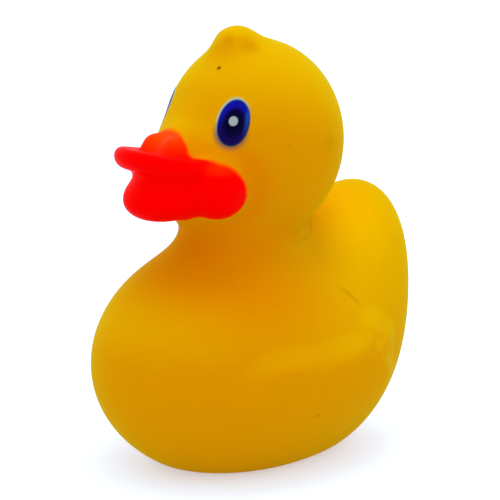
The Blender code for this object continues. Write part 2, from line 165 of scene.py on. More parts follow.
def folded(points: Array) -> Array:
    """Folds points onto the duck's left side."""
    return np.stack([np.abs(points[:, 0]), points[:, 1], points[:, 2]], axis=1)


class Mass(ABC):
    """A rounded lump of the pattern. One that is off the middle also stands for its mirror image."""

    @abstractmethod
    def distance(self, points: Array) -> Array:
        """Tells how far each point lies outside the lump."""

    @abstractmethod
    def thinned(self, wall: float) -> Optional["Mass"]:
        """Gives the hollow inside the lump, a wall in from its surface, or None where it is solid."""

    @abstractmethod
    def blocks(self) -> list[bpy.types.Object]:
        """Models the lump as rough blocks, ready to be fused."""


@dataclass(frozen=True)
class Ellipsoid(Mass):
    """An ellipsoid turned about X by pitch."""

    centre: Point
    radii: Point
    pitch: float = 0.0

    def distance(self, points: Array) -> Array:
        """Tells how far each point lies outside the lump, near enough for blending."""
        offset = points - np.array(self.centre)
        cosine = math.cos(math.radians(self.pitch))
        sine = math.sin(math.radians(self.pitch))
        along = offset[:, 1] * cosine + offset[:, 2] * sine
        across = offset[:, 2] * cosine - offset[:, 1] * sine
        turned = np.stack([offset[:, 0], along, across], axis=1)
        reach = np.linalg.norm(turned / self.radii, axis=1)
        steep = np.linalg.norm(turned / np.square(self.radii), axis=1) + TINY
        return reach * (reach - 1) / steep

    def thinned(self, wall: float) -> Optional["Ellipsoid"]:
        """Gives the hollow inside the lump, or None where the wall takes all of it."""
        radii = tuple(radius - wall for radius in self.radii)
        return Ellipsoid(self.centre, radii, self.pitch) if min(radii) > wall / 2 else None

    def blocks(self) -> list[bpy.types.Object]:
        """Models the lump as a sphere that is stretched and turned."""
        made = []
        for side in Side if self.centre[0] else (Side.LEFT,):
            bpy.ops.mesh.primitive_uv_sphere_add(
                segments=SPHERE_SEGMENTS,
                ring_count=SPHERE_RINGS,
                radius=1.0,
                location=(self.centre[0] * side.value, self.centre[1], self.centre[2]),
                rotation=(math.radians(self.pitch), 0.0, 0.0),
                scale=self.radii,
            )
            made.append(bpy.context.active_object)
        return made


@dataclass(frozen=True)
class RoundCone(Mass):
    """The hull of two balls on the middle plane."""

    start: Point
    end: Point
    start_radius: float
    end_radius: float

    def distance(self, points: Array) -> Array:
        """Tells how far each point lies outside the lump."""
        start = np.array(self.start)
        axis = np.array(self.end) - start
        length = np.linalg.norm(axis)
        along = (points - start) @ (axis / length)
        out = np.linalg.norm(points - start - along[:, None] * axis / length, axis=1)
        slope = (self.start_radius - self.end_radius) / length
        lean = math.sqrt(1 - slope * slope)
        share = np.clip((along + out * slope / lean) / length, 0.0, 1.0)
        middle = np.hypot(along - share * length, out)
        return middle - (self.start_radius + (self.end_radius - self.start_radius) * share)

    def thinned(self, wall: float) -> Optional["RoundCone"]:
        """Gives the hollow inside the lump, or None where the wall takes one of its balls."""
        radii = self.start_radius - wall, self.end_radius - wall
        return RoundCone(self.start, self.end, *radii) if min(radii) > wall / 2 else None

    def blocks(self) -> list[bpy.types.Object]:
        """Models the lump as two balls wrapped in their hull."""
        balls = []
        for place, radius in ((self.start, self.start_radius), (self.end, self.end_radius)):
            bpy.ops.mesh.primitive_ico_sphere_add(
                subdivisions=BALL_SUBDIVISIONS, radius=radius, location=place
            )
            balls.append(bpy.context.active_object)
        select_only(*balls)
        bpy.ops.object.join()
        bpy.ops.object.mode_set(mode="EDIT")
        bpy.ops.mesh.select_all(action="SELECT")
        bpy.ops.mesh.convex_hull()
        bpy.ops.object.mode_set(mode="OBJECT")
        return [bpy.context.active_object]


@dataclass(frozen=True)
class DishedPlate(Mass):
    """An oval plate of even thickness with a round edge, its middle sunk below its rim.

    It is turned about X by pitch.
    """

    centre: Point
    half_width: float
    half_length: float
    thickness: float
    dish: float
    pitch: float
    dish_reach: float = 1.3

    def distance(self, points: Array) -> Array:
        """Tells how far each point lies outside the plate, near enough for blending."""
        offset = points - np.array(self.centre)
        cosine = math.cos(math.radians(self.pitch))
        sine = math.sin(math.radians(self.pitch))
        along = offset[:, 1] * cosine + offset[:, 2] * sine
        across = offset[:, 2] * cosine - offset[:, 1] * sine
        core = np.array([self.half_width, self.half_length]) - self.thickness / 2
        flat = np.stack([offset[:, 0], along], axis=1)
        reach = np.linalg.norm(flat / core, axis=1)
        steep = np.linalg.norm(flat / np.square(core), axis=1) + TINY
        past_rim = np.maximum(reach * (reach - 1) / steep, 0.0)
        sunk = across + self.dish * (1 - np.minimum(reach, self.dish_reach) ** 2)
        return np.hypot(past_rim, sunk) - self.thickness / 2

    def thinned(self, wall: float) -> Optional["DishedPlate"]:
        """Gives None: the plate is solid."""
        return None

    def blocks(self) -> list[bpy.types.Object]:
        """Models the plate as an oval disc with a rounded rim."""
        bpy.ops.mesh.primitive_cylinder_add(
            vertices=PLATE_SEGMENTS,
            radius=1.0,
            depth=self.thickness,
            scale=(self.half_width, self.half_length, 1.0),
        )
        disc = bpy.context.active_object
        bpy.ops.object.mode_set(mode="EDIT")
        bpy.ops.mesh.select_all(action="DESELECT")
        bpy.ops.mesh.select_mode(type="EDGE")
        bpy.ops.mesh.edges_select_sharp(sharpness=math.radians(PLATE_SHARP_ANGLE))
        bpy.ops.mesh.bevel(offset=self.thickness * PLATE_BEVEL_SHARE, segments=PLATE_BEVEL_SEGMENTS)
        bpy.ops.object.mode_set(mode="OBJECT")
        disc.rotation_euler = (math.radians(self.pitch), 0.0, 0.0)
        disc.location = self.centre
        return [disc]


def joined(masses: Iterable[tuple[Mass, float]], points: Array) -> Array:
    """Measures the blended distance of some masses.

    Args:
        masses: Each mass, with the width of the curve that joins it to those before it.
        points: The places to measure at.

    Returns:
        The distance of each point from the blended surface.
    """
    total = None
    for mass, blend in masses:
        distance = mass.distance(points)
        total = distance if total is None else bow(total, distance, blend)
    return total


def hollowed(masses: Masses, wall: float) -> Masses:
    """Gives the hollows of some masses, a wall in from their surfaces, without those that are solid."""
    inner = ((mass.thinned(wall), blend) for mass, blend in masses)
    return [(mass, blend) for mass, blend in inner if mass is not None]


@dataclass(frozen=True)
class Trunk:
    """The egg-shaped trunk with the upright rump behind it."""

    length: float = 0.0653
    width: float = 0.0511
    height: float = 0.0502
    base_cut: float = 0.0035
    base_edge: float = 0.0024
    rump_width: float = 0.0342
    rump_height: float = 0.0547
    rump_depth: float = 0.0274
    rump_lean: float = 68.5
    rump_back: float = 0.0245
    rump_rise: float = 0.0067
    rump_blend: float = 0.0200

    @property
    def centre(self) -> Point:
        """The middle of the egg."""
        return (0.0, 0.0, self.height / 2 - self.base_cut)

    @property
    def top(self) -> float:
        """How high the egg reaches."""
        return self.height - self.base_cut

    def masses(self) -> Masses:
        """Lists the trunk's lumps with their blends."""
        egg = Ellipsoid(self.centre, (self.width / 2, self.length / 2, self.height / 2))
        rump = Ellipsoid(
            (0.0, self.rump_back, self.centre[2] + self.rump_rise),
            (self.rump_width / 2, self.rump_height / 2, self.rump_depth / 2),
            self.rump_lean,
        )
        return [(egg, self.rump_blend), (rump, self.rump_blend)]


@dataclass(frozen=True)
class Head:
    """The ball of the head, the neck under it and the crest on its crown."""

    trunk: Trunk
    width: float = 0.0370
    depth: float = 0.0364
    height: float = 0.0410
    back: float = 0.0042
    rise: float = 0.0197
    blend: float = 0.0040
    neck_radius: float = 0.0110
    neck_forward: float = 0.0012
    neck_lean: float = 0.0010
    neck_root: float = 0.0069
    neck_top: float = 0.0104
    neck_blend: float = 0.0093
    face_size: Point = (0.0245, 0.0192, 0.0238)
    face_place: Point = (0.0, 0.0131, -0.0050)
    face_blend: float = 0.0058
    crest_tip_radius: float = 0.0043
    crest_tip: tuple[float, float] = (0.0045, 0.0189)
    crest_root_radius: float = 0.0115
    crest_root: tuple[float, float] = (-0.0013, 0.0086)
    crest_blend: float = 0.0065

    @property
    def centre(self) -> Point:
        """The middle of the head."""
        return (0.0, self.back, self.trunk.top + self.rise)

    def place(self, out: float, forward: float, rise: float) -> Point:
        """Gives a place measured from the middle of the head."""
        return (out, self.centre[1] - forward, self.centre[2] + rise)

    def masses(self) -> Masses:
        """Lists the lumps of the neck, head and crest with their blends."""
        neck = RoundCone(
            (0.0, -self.neck_forward, self.trunk.top - self.neck_root),
            (0.0, self.neck_lean - self.neck_forward, self.centre[2] - self.neck_top),
            self.neck_radius,
            self.neck_radius,
        )
        ball = Ellipsoid(self.centre, (self.width / 2, self.depth / 2, self.height / 2))
        face = Ellipsoid(self.place(*self.face_place), tuple(length / 2 for length in self.face_size))
        crest = RoundCone(
            self.place(0.0, *self.crest_tip),
            self.place(0.0, *self.crest_root),
            self.crest_tip_radius,
            self.crest_root_radius,
        )
        return [
            (neck, self.neck_blend),
            (ball, self.blend),
            (face, self.face_blend),
            (crest, self.crest_blend),
        ]


@dataclass(frozen=True)
class Bill:
    """The open bill, made of seven lumps.

    They are the lower lip, the corner lobes, the core, the bridge with its root on the brow, the upper blade
    and the nostril bumps.
    """

    head: Head
    lip_size: Point = (0.0189, 0.0237, 0.0112)
    lip_place: Point = (0.0, 0.0196, -0.0079)
    lip_tilt: float = 12.3
    lobe_size: Point = (0.0114, 0.0118, 0.0114)
    lobe_place: Point = (0.0090, 0.0168, -0.0070)
    core_size: Point = (0.0239, 0.0189, 0.0112)
    core_place: Point = (0.0, 0.0163, -0.0050)
    bridge_size: Point = (0.0170, 0.0144, 0.0102)
    bridge_place: Point = (0.0, 0.0208, -0.0046)
    root_size: Point = (0.0097, 0.0131, 0.0108)
    root_place: Point = (0.0, 0.0184, -0.0013)
    blade_width: float = 0.0224
    blade_length: float = 0.0210
    blade_thickness: float = 0.0041
    blade_place: Point = (0.0, 0.0221, -0.0029)
    blade_upturn: float = 12.7
    blade_dish: float = 0.0008
    nostril_size: Point = (0.0045, 0.0043, 0.0055)
    nostril_place: Point = (0.0032, 0.0231, 0.0001)
    lip_blend: float = 0.0024
    blade_blend: float = 0.0020
    nostril_blend: float = 0.0035
    blend: float = 0.0041

    def lump(self, place: Point, size: Point, tilt: float = 0.0) -> Ellipsoid:
        """Gives an ellipsoid by its place from the middle of the head, its full size and its tilt."""
        return Ellipsoid(self.head.place(*place), tuple(length / 2 for length in size), tilt)

    def masses(self) -> Masses:
        """Lists the bill's lumps with their blends."""
        blade = DishedPlate(
            self.head.place(*self.blade_place),
            self.blade_width / 2,
            self.blade_length / 2,
            self.blade_thickness,
            self.blade_dish,
            -self.blade_upturn,
        )
        return [
            (self.lump(self.lip_place, self.lip_size, self.lip_tilt), self.lip_blend),
            (self.lump(self.lobe_place, self.lobe_size), self.lip_blend),
            (self.lump(self.core_place, self.core_size), self.lip_blend),
            (self.lump(self.bridge_place, self.bridge_size), self.lip_blend),
            (self.lump(self.root_place, self.root_size), self.lip_blend),
            (blade, self.blade_blend),
            (self.lump(self.nostril_place, self.nostril_size), self.nostril_blend),
        ]

    def reach(self, points: Array) -> Array:
        """Tells how far each point lies outside the bill's own lumps."""
        return joined(self.masses(), folded(points))


@dataclass(frozen=True)
class Eye:
    """An oval on the front quarter of the head, its top rolled back a little, barely raised."""

    head: Head
    width: float = 0.0073
    height: float = 0.0102
    turn: float = 37.3
    lift: float = 19.6
    roll: float = 9.5
    rise: float = 0.0001
    edge: float = 0.0010
    side_share: float = 0.25
    far: float = 1.0

    @property
    def axes(self) -> tuple[Array, Array, Array]:
        """The left eye's outward direction and the directions of its short and long axes."""
        turn, lift, roll = (math.radians(angle) for angle in (self.turn, self.lift, self.roll))
        outward = np.array(
            [math.sin(turn) * math.cos(lift), -math.cos(turn) * math.cos(lift), math.sin(lift)]
        )
        level = np.array([math.cos(turn), math.sin(turn), 0.0])
        upright = np.cross(outward, level)
        sideways = level * math.cos(roll) - upright * math.sin(roll)
        return outward, sideways, np.cross(outward, sideways)

    def place(self, points: Array) -> Array:
        """Maps points onto the eye.

        Args:
            points: Places on the duck.

        Returns:
            For each point, how far it lies to the side of and above the middle of the nearer eye, in
            millimetres, and 0, or for a point that isn't on the eye's side of the head, a large number.
        """
        outward, sideways, upward = self.axes
        offset = folded(points) - np.array(self.head.centre)
        beyond = np.where(offset @ outward > self.head.width * self.side_share, 0.0, self.far)
        return np.stack([offset @ sideways, offset @ upward, beyond], axis=1) / MILLIMETRE

    def relief(self, points: Array) -> Array:
        """Tells how far the eye lifts the skin at each point."""
        place = self.place(points) * MILLIMETRE
        share = np.hypot(place[:, 0] / (self.width / 2), place[:, 1] / (self.height / 2)) + place[:, 2]
        return self.rise * step_up((share - 1) * self.width / 2, self.edge)


@dataclass(frozen=True)
class Groove:
    """A shallow groove between two feathers, seen from the side: its ends as places back from and above the
    trunk's middle, its half width and its depth."""

    start: tuple[float, float]
    end: tuple[float, float]
    half_width: float
    depth: float


@dataclass(frozen=True)
class Wing:
    """A low pad on the trunk's side: a shoulder, a pinion behind it, two tips and the feathers' grooves."""

    trunk: Trunk
    rise: float = 0.0012
    edge: float = 0.0060
    fade_drop: float = 0.0090
    fade_band: float = 0.0140
    blend: float = 0.0100
    tip_blend: float = 0.0050
    shoulder_place: tuple[float, float] = (-0.0073, -0.0030)
    shoulder_size: tuple[float, float] = (0.0190, 0.0168)
    pinion_place: tuple[float, float] = (0.0095, -0.0050)
    pinion_size: tuple[float, float] = (0.0290, 0.0208)
    feather_root_radius: float = 0.0090
    tips: tuple[tuple[float, float, float], ...] = ((0.0170, 0.0066, 0.0022), (0.0212, 0.0042, 0.0018))
    grooves: tuple[Groove, ...] = (
        Groove((-0.0021, 0.0030), (-0.0005, -0.0033), 0.0014, 0.00010),
        Groove((0.0041, -0.0034), (0.0045, -0.0066), 0.0012, 0.00010),
        Groove((0.0096, -0.0002), (0.0088, -0.0028), 0.0012, 0.00008),
        Groove((0.0190, 0.0045), (0.0196, 0.0010), 0.0012, 0.00007),
        Groove((0.0196, 0.0010), (0.0171, 0.0006), 0.0012, 0.00005),
    )

    def on_side(self, place: tuple[float, float]) -> Point:
        """Gives a place on the side view, from the trunk's middle."""
        return (0.0, self.trunk.centre[1] + place[0], self.trunk.centre[2] + place[1])

    def outline(self, flat: Array) -> Array:
        """Tells how far each point of the side view lies outside the wing."""
        shoulder_length, shoulder_height = self.shoulder_size
        shoulder = Ellipsoid(
            self.on_side(self.shoulder_place),
            (shoulder_length / 2, shoulder_length / 2, shoulder_height / 2),
        )
        pinion_centre = self.on_side(self.pinion_place)
        pinion_length, pinion_height = self.pinion_size
        pinion = Ellipsoid(pinion_centre, (pinion_length / 2, pinion_length / 2, pinion_height / 2))
        feathers = [
            RoundCone(self.on_side((back, rise)), pinion_centre, radius, self.feather_root_radius)
            for back, rise, radius in self.tips
        ]
        masses = [(shoulder, self.blend), (pinion, self.blend)]
        return joined(masses + [(feather, self.tip_blend) for feather in feathers], flat)

    def relief(self, points: Array) -> Array:
        """Tells how far the wing lifts the skin at each point."""
        flat = points * np.array([0.0, 1.0, 1.0])
        below = self.trunk.centre[2] - points[:, 2]
        fade = step_up(below - self.fade_drop, self.fade_band)
        lift = self.rise * fade * step_up(self.outline(flat), self.edge)
        for groove in self.grooves:
            line = RoundCone(self.on_side(groove.start), self.on_side(groove.end), TINY, TINY)
            inside = step_up(line.distance(flat) - groove.half_width / 2, groove.half_width)
            lift = lift - groove.depth * inside
        return lift


@dataclass(frozen=True)
class Dent:
    """A soft hollow in the skin, or with a depth below 0 a soft bump: its place, radius and depth."""

    place: Point
    radius: float
    depth: float

    def relief(self, points: Array) -> Array:
        """Tells how far the dent lowers the skin at each point."""
        share = np.linalg.norm(points - np.array(self.place), axis=1) / self.radius
        return self.depth * np.exp(-share * share)


@dataclass
class Skin:
    """The whole duck's hollow skin, as one piece."""

    wall: float = 0.0020
    vent_radius: float = 0.0016
    vent_back: float = 0.0090
    voxel: float = 0.00056
    cavity_voxel: float = 0.0020
    spread_rounds: int = 8
    last_rounds: int = 2
    relax: float = 0.5
    least_steepness: float = 0.25
    probe: float = 0.00001
    # Where the painted shade in the crease under the head lies
    throat_back: float = 0.0060
    throat_band: float = 0.0440
    throat_reach: float = 0.0130
    throat_top: float = 0.0500
    throat_fade: float = 0.0080
    # Where the painted light towards the rear lies, and how much of it there is
    rear_back: float = 0.0100
    rear_band: float = 0.0400
    rear_share: float = 1 / 3
    trunk: Trunk = field(default_factory=Trunk)
    head: Head = field(init=False)
    bill: Bill = field(init=False)
    eye: Eye = field(init=False)
    wing: Wing = field(init=False)
    dents: tuple[Dent, ...] = (
        Dent((0.0020, -0.0042, 0.0870), 0.0011, 0.00022),
        Dent((0.0056, -0.0012, 0.0859), 0.0016, 0.00030),
        Dent((0.0033, -0.0021, 0.0880), 0.0012, -0.00015),
    )

    def __post_init__(self) -> None:
        """Places the sub-assemblies on each other."""
        self.head = Head(self.trunk)
        self.bill = Bill(self.head)
        self.eye = Eye(self.head)
        self.wing = Wing(self.trunk)

    def plain_height(self, half: Array, wall: float) -> Array:
        """Measures how high each point lies over the blended masses.

        Args:
            half: Points on the duck's left side.
            wall: How far in from the outside the surface lies.

        Returns:
            The height of each point over that surface.
        """
        body = self.trunk.masses() + self.head.masses()
        bill = self.bill.masses()
        if wall:
            body = hollowed(body, wall)
            bill = hollowed(bill, wall)
        return bow(joined(body, half), joined(bill, half), self.bill.blend)

    def outer_height(self, points: Array) -> Array:
        """Tells how high each point lies over the duck's outside, with its reliefs."""
        half = folded(points)
        height = self.plain_height(half, 0.0) - self.wing.relief(half) - self.eye.relief(half)
        for dent in self.dents:
            height = height + dent.relief(half)
        return -bow(-height, points[:, 2], self.trunk.base_edge)

    def inner_height(self, points: Array) -> Array:
        """Tells how high each point lies over the surface of the hollow."""
        height = self.plain_height(folded(points), self.wall)
        return -bow(-height, points[:, 2] - self.wall, self.trunk.base_edge)

    def slope(self, height: Height, points: Array) -> Array:
        """Gives the gradient of a height at each point."""
        steps = np.eye(3) * self.probe
        sides = [height(points + step) - height(points - step) for step in steps]
        return np.stack(sides, axis=1) / (2 * self.probe)

    def dropped(self, height: Height, points: Array) -> Array:
        """Moves points onto the surface where a height is 0, each along its own gradient."""
        for _ in range(self.last_rounds):
            slope = self.slope(height, points)
            steep = np.maximum((slope * slope).sum(axis=1), self.least_steepness)
            points = points - (height(points) / steep)[:, None] * slope
        return points

    def settle(self, mesh: bpy.types.Mesh, height: Height) -> None:
        """Spreads a mesh's vertices evenly and moves each one onto the surface where a height is 0."""
        points = np.array([vertex.co for vertex in mesh.vertices])
        ends = np.array([edge.vertices[:] for edge in mesh.edges])
        links = np.bincount(ends.ravel(), minlength=len(points))[:, None]
        for _ in range(self.spread_rounds):
            around = np.zeros_like(points)
            np.add.at(around, ends[:, 0], points[ends[:, 1]])
            np.add.at(around, ends[:, 1], points[ends[:, 0]])
            points = self.dropped(height, points + self.relax * (around / links - points))
        mesh.vertices.foreach_set("co", points.ravel())
        mesh.update()

    def fused(self, name: str, masses: Masses, voxel: float) -> bpy.types.Object:
        """Models the masses as blocks and fuses them into one closed mesh of even quads.

        Args:
            name: The new object's name.
            masses: The masses with their blends.
            voxel: The size of the quads.

        Returns:
            The fused object.
        """
        blocks = [block for mass, _ in masses for block in mass.blocks()]
        select_only(*blocks)
        bpy.ops.object.join()
        made = bpy.context.active_object
        made.name = name
        bpy.ops.object.transform_apply(location=True, rotation=True, scale=True)
        remesh = made.modifiers.new("fuse", "REMESH")
        remesh.mode = "VOXEL"
        remesh.voxel_size = voxel
        bpy.ops.object.modifier_apply(modifier=remesh.name)
        return made

    def open_hollow(self, skin: bpy.types.Object) -> None:
        """Gives the skin its hollow, and opens the vent through the base into it."""
        masses = hollowed(self.trunk.masses() + self.head.masses() + self.bill.masses(), self.wall)
        hollow = self.fused("hollow", masses, self.cavity_voxel)
        self.settle(hollow.data, self.inner_height)
        bpy.ops.object.mode_set(mode="EDIT")
        bpy.ops.mesh.select_all(action="SELECT")
        bpy.ops.mesh.flip_normals()
        bpy.ops.object.mode_set(mode="OBJECT")
        select_only(skin, hollow)
        bpy.ops.object.join()
        bpy.ops.mesh.primitive_cylinder_add(
            vertices=VENT_SEGMENTS,
            radius=self.vent_radius,
            depth=3 * self.wall,
            location=(0.0, self.vent_back, self.wall / 2),
        )
        pin = bpy.context.active_object
        select_only(skin)
        cut = skin.modifiers.new("vent", "BOOLEAN")
        cut.operation = "DIFFERENCE"
        cut.object = pin
        bpy.ops.object.modifier_apply(modifier=cut.name)
        bpy.data.objects.remove(pin)

    def mark_paint(self, mesh: bpy.types.Mesh) -> None:
        """Writes, for each vertex, its place from the bill and on the eye, and its painted light and shade."""
        points = np.array([vertex.co for vertex in mesh.vertices])
        inside = self.outer_height(points) < -self.wall / 2
        reach = np.where(inside, self.eye.far, self.bill.reach(points)) / MILLIMETRE
        place = self.eye.place(points)
        place[:, 2] = np.where(inside, self.eye.far / MILLIMETRE, place[:, 2])
        above = np.maximum(points[:, 2] - self.head.centre[2], 0.0) / MILLIMETRE
        # The share of painted light: more where the skin faces up and towards the rear
        skyward = np.array([vertex.normal.z for vertex in mesh.vertices])
        rear = 1 - step_up(points[:, 1] - self.rear_back, self.rear_band)
        lit_share = skyward + rear * self.rear_share
        mesh.attributes.new("bill_reach", "FLOAT", "POINT").data.foreach_set("value", reach)
        mesh.attributes.new("spray_reach", "FLOAT", "POINT").data.foreach_set("value", reach + above)
        mesh.attributes.new("throat_shade", "FLOAT", "POINT").data.foreach_set("value", self.throat_shade(points))
        mesh.attributes.new("painted_light_share", "FLOAT", "POINT").data.foreach_set("value", lit_share)
        mesh.attributes.new("eye_place", "FLOAT_VECTOR", "POINT").data.foreach_set("vector", place.ravel())

    def throat_shade(self, points: Array) -> Array:
        """Gives the share of painted shade: 1 in the crease under the head, 0 far from it."""
        apart = joined(self.head.masses(), folded(points))
        front = step_up(points[:, 1] - self.throat_back, self.throat_band)
        below = step_up(points[:, 2] - self.throat_top, self.throat_fade)
        return front * below * step_up(apart - self.throat_reach, self.throat_reach)

    def build(self) -> bpy.types.Object:
        """Builds the piece.

        Returns:
            The finished object, without its material.
        """
        masses = self.trunk.masses() + self.head.masses() + self.bill.masses()
        skin = self.fused("duck_skin", masses, self.voxel)
        self.settle(skin.data, self.outer_height)
        self.open_hollow(skin)
        self.mark_paint(skin.data)
        select_only(skin)
        bpy.ops.object.shade_smooth_by_angle(angle=math.radians(SMOOTH_ANGLE))
        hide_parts(CAD_NODE)
        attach(skin, CAD_BODY)
        LOG.info("duck_skin: %d faces", len(skin.data.polygons))
        return skin


@dataclass(frozen=True)
class Spot:
    """An oval patch of colour with a soft edge.

    Its place and radii are in the units of the coordinates it is laid by, softness is the share of its radius
    over which it fades, and turn is in degrees.
    """

    place: Point
    radii: Point
    colour: str
    softness: float
    strength: float = 1.0
    turn: Point = (0.0, 0.0, 0.0)

    def laid(
        self, tree: bpy.types.NodeTree, where: bpy.types.NodeSocket, under: bpy.types.NodeSocket
    ) -> bpy.types.NodeSocket:
        """Lays the patch over a colour.

        Args:
            tree: The material's nodes.
            where: The coordinates that place it.
            under: The colour below it.

        Returns:
            The colour with the patch on it.
        """
        offset = add_node(
            tree,
            "ShaderNodeMapping",
            {
                "Vector": where,
                "Location": self.place,
                "Rotation": tuple(math.radians(angle) for angle in self.turn),
                "Scale": self.radii,
            },
            vector_type="TEXTURE",
        )
        share = add_node(tree, "ShaderNodeVectorMath", {0: offset.outputs[0]}, operation="LENGTH")
        mask = add_node(
            tree,
            "ShaderNodeMapRange",
            {
                "Value": share.outputs["Value"],
                "From Min": 1 + self.softness / 2,
                "From Max": 1 - self.softness / 2,
                "To Max": self.strength,
            },
            interpolation_type="SMOOTHSTEP",
        )
        mix = add_node(
            tree, "ShaderNodeMix", {0: mask.outputs[0], 6: under, 7: linear(self.colour)}, data_type="RGBA"
        )
        return mix.outputs[2]


@dataclass(frozen=True)
class Surface:
    """How a finish meets the light: its roughness, gloss, dusty bloom and how much light goes into it."""

    name: str
    roughness: float
    gloss: float
    bloom: float
    tint: str
    depth: float


@dataclass(frozen=True)
class PaintedVinyl:
    """Rotationally moulded soft PVC with sprayed and printed paint.

    Soft vinyl is a satin, slightly dusty plastic: its highlights are broad and take the plastic's colour, and
    a little light goes into it, so its shadows turn orange. Its yellow is painted purer where the skin faces up
    and towards the rear, as painted light, and deeper orange in the crease under the head, as painted shade;
    these tints are fitted. The red is sprayed through a mask, so its edge is soft and a faint haze of it lies
    round the bill. Orange patches on the nostrils' mound and in the corner creases are painted highlights.
    """

    # The yellow painted as lit where the skin faces up, and the deeper one painted as shaded where it faces
    # down
    yellow: str = "#DEA800"
    shaded_yellow: str = "#DA9000"
    # The painted shade in the crease under the head
    throat_shade_orange: str = "#D87A00"
    haze_orange: str = "#E07600"
    red: str = "#FF0000"
    # Over which share of painted light the yellow goes from the shaded one to the lit one
    painted_light_from: float = 0.30
    painted_light_to: float = 0.95
    cloud_strength: float = 0.2
    cloud_size: float = 0.012
    noise_detail: float = 2.0
    grain_size: float = 0.0005
    grain_depth: float = 0.00001
    dimple_size: float = 0.006
    dimple_depth: float = 0.00012
    mask_edge_mm: float = 0.45
    mask_softness_mm: float = 0.5
    mask_wobble_mm: float = 0.25
    deep_mm: float = 0.5
    wobble_size: float = 0.003
    haze_reach_mm: float = 9.0
    haze_strength: float = 0.58
    throat_shade_strength: float = 0.85
    index: float = 1.53
    depth_scale: float = 0.004
    depth_radius: Point = (1.0, 0.4, 0.05)
    # Satin and slightly dusty: broad soft highlights, and edges that turn a greener yellow
    vinyl: Surface = Surface("painted_soft_vinyl", 0.50, 0.003, 0.33, "#C4FF00", 0.10)
    # Thin sprayed lacquer: a tighter, faint orange highlight, and no bloom at the edges
    red_paint: Surface = Surface("sprayed_red_paint", 0.38, 0.012, 0.0, "#FF4000", 0.0)
    # Printed enamel: the smoothest of the three, with a small neutral gloss on the dark pupil
    eye_paint: Surface = Surface("printed_eye_paint", 0.34, 0.02, 0.0, "#FFFFFF", 0.0)
    # The off-white rim, the dark line, the iris, its lighter side and darker foot, the pupil and the dot
    eye_spots: tuple[Spot, ...] = (
        Spot((-0.05, 0.05, 0.0), (3.38, 4.96, 1.0), "#A6B69C", 0.10),
        Spot((0.16, -0.14, 0.0), (3.20, 4.72, 1.0), "#1C3A38", 0.10),
        Spot((0.02, 0.0, 0.0), (2.98, 4.48, 1.0), "#0E0E98", 0.16),
        Spot((2.50, 0.60, 0.0), (0.50, 2.40, 1.0), "#1C4A9C", 1.2, 0.7),
        Spot((0.0, -2.20, 0.0), (2.90, 2.90, 1.0), "#120448", 0.9),
        Spot((0.25, 0.0, 0.0), (2.15, 2.90, 1.0), "#03012A", 0.45),
        Spot((0.04, 0.18, 0.0), (0.90, 0.96, 1.0), "#9AA8AA", 0.35),
    )
    # Painted highlights: orange on the nostrils' mound and in the crease of each corner
    red_highlights: tuple[Spot, ...] = (
        Spot((0.0, -0.0178, 0.0700), (0.0060, 0.0050, 0.0036), "#FF4A00", 1.4, 0.85),
        Spot((0.0090, -0.0135, 0.0640), (0.0045, 0.0030, 0.0014), "#FF3000", 1.4, 0.7),
        Spot((-0.0090, -0.0135, 0.0640), (0.0045, 0.0030, 0.0014), "#FF3000", 1.4, 0.7),
    )
    # Specks on the forehead and cheek, a patch behind the cheek, a speck low on the side, a scratch and the
    # speck by it, a painted light patch on the rump's front, a greenish line in the crease, and painted shade
    # in the two crest dimples
    marks_and_painted_light: tuple[Spot, ...] = (
        Spot((0.0030, -0.0072, 0.0822), (0.0004, 0.0004, 0.0004), "#5A1800", 1.2, 0.95),
        Spot((0.0176, -0.0013, 0.0679), (0.0004, 0.0004, 0.0004), "#B47E00", 1.0, 0.25),
        Spot((0.0178, 0.0092, 0.0673), (0.0016, 0.0016, 0.0020), "#BC8600", 1.8, 0.35),
        Spot((0.0254, 0.0000, 0.0142), (0.0004, 0.0004, 0.0004), "#A85800", 1.4, 0.5),
        Spot((0.0196, 0.0134, 0.0356), (0.0002, 0.0005, 0.0026), "#A85C00", 1.4, 0.35, (39.6, -27.2, 0.0)),
        Spot((0.0191, 0.0179, 0.0356), (0.0003, 0.0003, 0.0003), "#B07800", 1.0, 0.15),
        # A painted light patch on the rump's front, lifting the shade beside the head
        Spot((0.0020, 0.0220, 0.0500), (0.0120, 0.0070, 0.0090), "#FAC200", 1.8, 0.9),
        Spot((0.0039, 0.0163, 0.0470), (0.0002, 0.0029, 0.0008), "#B0A010", 1.4, 0.35, (18.0, 0.0, 46.6)),
        Spot((0.0085, 0.0103, 0.0457), (0.0002, 0.0056, 0.0008), "#B0A010", 1.4, 0.35, (5.6, 0.0, 32.9)),
        # Painted shade in the two crest dimples
        Spot((0.0021, -0.0042, 0.0868), (0.0013, 0.0013, 0.0016), "#D08800", 1.6, 0.6),
        Spot((0.0055, -0.0012, 0.0856), (0.0018, 0.0016, 0.0013), "#D08800", 1.6, 0.5),
    )

    def noise(
        self, tree: bpy.types.NodeTree, where: bpy.types.NodeSocket, size: float
    ) -> bpy.types.NodeSocket:
        """Gives an even, cloudy pattern with patches of a real size."""
        made = add_node(
            tree, "ShaderNodeTexNoise", {"Vector": where, "Scale": 1 / size, "Detail": self.noise_detail}
        )
        return made.outputs["Fac"]

